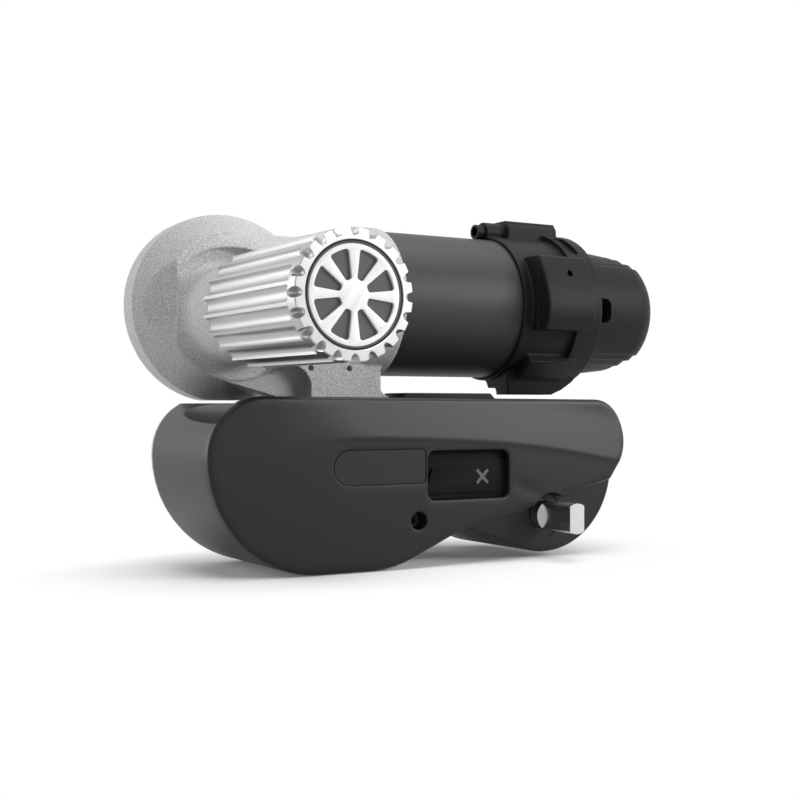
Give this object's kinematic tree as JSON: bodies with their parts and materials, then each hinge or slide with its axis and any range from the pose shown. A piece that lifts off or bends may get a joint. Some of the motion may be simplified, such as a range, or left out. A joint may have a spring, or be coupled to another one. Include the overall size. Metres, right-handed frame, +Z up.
{
  "type": "caravan motor mover",
  "caption": "Electric drive unit with a grooved aluminium roller that slides on its base to press against a caravan tyre.",
  "frame": {"origin": "middle of the four chassis bolts, on the back face of the mount plate", "axes": "+X runs along the caravan, away from the wheel and along the motor's axis; +Y runs inboard, into the chassis, parallel to the roller's axis; +Z is up"},
  "size_m": [0.3815, 0.2311, 0.2271],
  "materials": {
    "cover_plastic": "fine moulded satin",
    "badge_plastic": "gloss",
    "slider_plastic": "satin",
    "black_plastic": "fine texture",
    "white_plastic": "satin",
    "grey_plastic": "satin",
    "plate_steel": "zinc coat",
    "bright_steel": "ground",
    "dark_steel": "blackened",
    "screw_steel": "zinc coat",
    "cast_aluminium": "sand cast",
    "machined_aluminium": "machined",
    "motor_paint": "semi gloss",
    "magnet_ferrite": "dull",
    "bronze": "turned",
    "copper": "bare",
    "rubber": "matt"
  },
  "bodies": {
    "base": {"front_cover": "cover_plastic", "mount_plate": "plate_steel", "weld_nuts": "plate_steel", "left_rod_bracket": "plate_steel", "right_rod_bracket": "plate_steel", "bracket_screws": "screw_steel", "upper_guide_rod": "bright_steel", "lower_guide_rod": "bright_steel", "badge_plate": "badge_plastic", "cover_screw": "dark_steel", "cover_screw_post": "plate_steel", "spindle_front_bush": "bronze", "spindle_rear_bush": "bronze"},
    "drive_unit": {"gear_housing": "cast_aluminium", "case_gasket": "rubber", "case_back_cover": "cast_aluminium", "case_cover_screws": "screw_steel", "motor_tube": "motor_paint", "magnets": "magnet_ferrite", "brush_plate": "grey_plastic", "brushes": "magnet_ferrite", "motor_end_plate": "cast_aluminium", "through_bolts": "screw_steel", "armature_front_bearing": "bright_steel", "armature_rear_bearing": "bright_steel", "worm_end_bush": "bronze", "clamp_ring": "black_plastic", "cable_inlet": "black_plastic", "end_cap": "black_plastic", "roller_front_bearing": "bright_steel", "roller_rear_bearing": "bright_steel", "roller_shaft_seal": "rubber", "layshaft_bushes": "bronze", "carriage": "plate_steel", "carriage_bolts": "dark_steel", "carriage_bushes": "bronze", "rack": "dark_steel", "rack_screws": "dark_steel", "indicator_slider": "slider_plastic", "slot_cover": "slider_plastic"},
    "roller_unit": {"roller": "machined_aluminium", "roller_shaft": "bright_steel", "roller_face_ring": "rubber", "roller_disc": "white_plastic", "disc_backing": "grey_plastic", "final_gear": "dark_steel", "shaft_circlip": "dark_steel"},
    "layshaft_unit": {"layshaft": "bright_steel", "worm_wheel": "bronze", "layshaft_pinion": "dark_steel"},
    "armature_unit": {"armature_shaft": "bright_steel", "armature_core": "dark_steel", "armature_windings": "copper", "commutator": "copper", "worm": "bright_steel"},
    "spindle_unit": {"spindle": "bright_steel", "spindle_pinion": "dark_steel", "spindle_spacer": "dark_steel"}
  },
  "joints": [
    {"name": "engage_slide", "type": "slide", "parent": "base", "child": "drive_unit", "axis": [-1, 0, 0], "range_m": [0, 0.0377]},
    {"name": "roller_spin", "type": "hinge", "parent": "drive_unit", "child": "roller_unit", "pos_m": [-0.093, -0.1, 0.102], "axis": [0, 1, 0], "continuous": true},
    {"name": "layshaft_spin", "type": "hinge", "parent": "drive_unit", "child": "layshaft_unit", "pos_m": [-0.0496, -0.005, 0.0815], "axis": [0, 1, 0], "continuous": true},
    {"name": "armature_spin", "type": "hinge", "parent": "drive_unit", "child": "armature_unit", "pos_m": [0, -0.005, 0.114], "axis": [1, 0, 0], "continuous": true},
    {"name": "spindle_turn", "type": "hinge", "parent": "base", "child": "spindle_unit", "pos_m": [0.097, -0.05, -0.024], "axis": [0, -1, 0], "range_deg": [0, 180]}
  ],
  "couplings": [
    {"joint": "layshaft_spin", "follows": "roller_spin", "ratio": -3},
    {"joint": "armature_spin", "follows": "roller_spin", "ratio": 72},
    {"joint": "spindle_turn", "follows": "engage_slide", "rad_per_m": 83.333}
  ]
}
